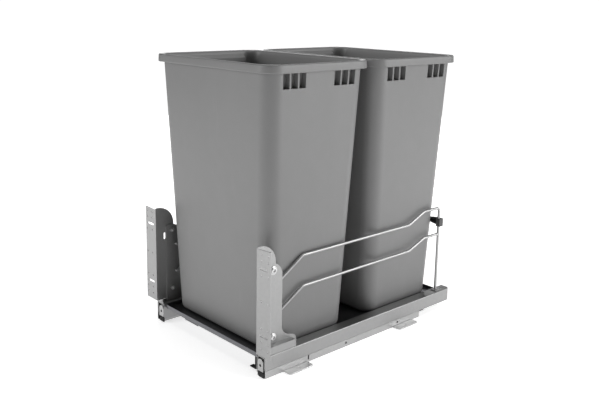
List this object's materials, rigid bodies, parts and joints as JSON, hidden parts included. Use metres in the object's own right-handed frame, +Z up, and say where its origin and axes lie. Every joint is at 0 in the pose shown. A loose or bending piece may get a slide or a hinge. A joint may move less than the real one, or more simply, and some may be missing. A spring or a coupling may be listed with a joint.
{
  "type": "pull-out waste bin unit",
  "caption": "Cabinet pull-out waste unit: open tapered bins in a steel tray with wire side rails, slotted door brackets and floor-mounted soft-close slides.",
  "frame": {"origin": "centre of the bottom of the unit's bounding box, on the cabinet floor", "axes": "+Z up, -Y towards the cabinet door, the way the tray pulls out, +X to the right as seen from the door"},
  "size_m": [0.419, 0.5706, 0.584],
  "materials": {
    "bin_plastic": "satin moulded grey polymer with a fine grain",
    "zinc_sheet": "galvanised sheet, satin",
    "tray_steel": "dark satin sheet",
    "slide_steel": "zinc-plated roll-formed steel",
    "bright_wire": "bright plated wire",
    "screw_steel": "zinc-plated screws and nuts",
    "black_plastic": "black moulded polymer",
    "grey_plastic": "dark grey moulded polymer"
  },
  "bodies": {
    "cabinet_base": {"slide_rail_left": "slide_steel", "slide_rail_right": "slide_steel", "floor_foot_front_left": "slide_steel", "floor_foot_front_right": "slide_steel", "floor_foot_rear_left": "slide_steel", "floor_foot_rear_right": "slide_steel", "damper_housing_left": "grey_plastic", "damper_housing_right": "grey_plastic", "base_tie": "slide_steel"},
    "tray": {"tray_pan": "tray_steel", "side_rail_left": "zinc_sheet", "side_rail_right": "zinc_sheet", "slide_drawer_left": "slide_steel", "slide_drawer_right": "slide_steel", "front_catch_left": "slide_steel", "front_catch_right": "slide_steel", "slide_bumper_left": "black_plastic", "slide_bumper_right": "black_plastic", "rear_guide_left": "black_plastic", "rear_guide_right": "black_plastic", "latch_block_left": "black_plastic", "latch_block_right": "black_plastic", "bracket_plate_left": "zinc_sheet", "bracket_plate_right": "zinc_sheet", "clamp_screw_upper_left": "screw_steel", "clamp_screw_upper_right": "screw_steel", "clamp_screw_lower_left": "screw_steel", "clamp_screw_lower_right": "screw_steel", "clamp_nut_upper_left": "screw_steel", "clamp_nut_upper_right": "screw_steel", "clamp_nut_lower_left": "screw_steel", "clamp_nut_lower_right": "screw_steel", "side_wire_upper_left": "bright_wire", "side_wire_upper_right": "bright_wire", "side_wire_lower_left": "bright_wire", "side_wire_lower_right": "bright_wire", "post_foot_left": "slide_steel", "post_foot_right": "slide_steel", "crossbar_clip_left": "grey_plastic", "crossbar_clip_right": "grey_plastic", "rear_crossbar": "black_plastic"},
    "front_bin_body": {"front_bin": "bin_plastic"},
    "rear_bin_body": {"rear_bin": "bin_plastic"},
    "middle_left": {"slide_middle_left": "slide_steel"},
    "cage_lower_left": {"roller_cage_lower_left": "grey_plastic"},
    "cage_upper_left": {"roller_cage_upper_left": "grey_plastic"},
    "damper_rod_left": {"damper_piston_left": "screw_steel"},
    "door_mount_left": {"door_plate_left": "zinc_sheet"},
    "lever_left": {"latch_lever_left": "black_plastic"},
    "middle_right": {"slide_middle_right": "slide_steel"},
    "cage_lower_right": {"roller_cage_lower_right": "grey_plastic"},
    "cage_upper_right": {"roller_cage_upper_right": "grey_plastic"},
    "damper_rod_right": {"damper_piston_right": "screw_steel"},
    "door_mount_right": {"door_plate_right": "zinc_sheet"},
    "lever_right": {"latch_lever_right": "black_plastic"}
  },
  "joints": [
    {"name": "tray_pull_out", "type": "slide", "parent": "cabinet_base", "child": "tray", "axis": [0, -1, 0], "range_m": [0, 0.44]},
    {"name": "middle_slide_left", "type": "slide", "parent": "cabinet_base", "child": "middle_left", "axis": [0, -1, 0], "range_m": [0, 0.22]},
    {"name": "cage_lower_slide_left", "type": "slide", "parent": "cabinet_base", "child": "cage_lower_left", "axis": [0, -1, 0], "range_m": [0, 0.11]},
    {"name": "cage_upper_slide_left", "type": "slide", "parent": "cabinet_base", "child": "cage_upper_left", "axis": [0, -1, 0], "range_m": [0, 0.33]},
    {"name": "damper_stroke_left", "type": "slide", "parent": "cabinet_base", "child": "damper_rod_left", "axis": [0, -1, 0], "range_m": [0, 0.045]},
    {"name": "door_height_left", "type": "slide", "parent": "tray", "child": "door_mount_left", "axis": [0, 0, 1], "range_m": [-0.0035, 0.0035]},
    {"name": "latch_turn_left", "type": "hinge", "parent": "tray", "child": "lever_left", "pos_m": [-0.1914, -0.2458, 0.02], "axis": [0, 0, -1], "range_deg": [0, 12], "stiffness_Nm_per_rad": 0.6},
    {"name": "middle_slide_right", "type": "slide", "parent": "cabinet_base", "child": "middle_right", "axis": [0, -1, 0], "range_m": [0, 0.22]},
    {"name": "cage_lower_slide_right", "type": "slide", "parent": "cabinet_base", "child": "cage_lower_right", "axis": [0, -1, 0], "range_m": [0, 0.11]},
    {"name": "cage_upper_slide_right", "type": "slide", "parent": "cabinet_base", "child": "cage_upper_right", "axis": [0, -1, 0], "range_m": [0, 0.33]},
    {"name": "damper_stroke_right", "type": "slide", "parent": "cabinet_base", "child": "damper_rod_right", "axis": [0, -1, 0], "range_m": [0, 0.045]},
    {"name": "door_height_right", "type": "slide", "parent": "tray", "child": "door_mount_right", "axis": [0, 0, 1], "range_m": [-0.0035, 0.0035]},
    {"name": "latch_turn_right", "type": "hinge", "parent": "tray", "child": "lever_right", "pos_m": [0.1488, -0.2458, 0.02], "axis": [0, 0, -1], "range_deg": [0, 12], "stiffness_Nm_per_rad": 0.6},
    {"name": "front_bin_lift", "type": "slide", "parent": "tray", "child": "front_bin_body", "axis": [0, 0, 1], "range_m": [0, 0.56]},
    {"name": "rear_bin_lift", "type": "slide", "parent": "tray", "child": "rear_bin_body", "axis": [0, 0, 1], "range_m": [0, 0.56]}
  ],
  "couplings": [
    {"joint": "middle_slide_left", "follows": "tray_pull_out", "ratio": 0.5},
    {"joint": "cage_lower_slide_left", "follows": "tray_pull_out", "ratio": 0.25},
    {"joint": "cage_upper_slide_left", "follows": "tray_pull_out", "ratio": 0.75},
    {"joint": "middle_slide_right", "follows": "tray_pull_out", "ratio": 0.5},
    {"joint": "cage_lower_slide_right", "follows": "tray_pull_out", "ratio": 0.25},
    {"joint": "cage_upper_slide_right", "follows": "tray_pull_out", "ratio": 0.75}
  ]
}
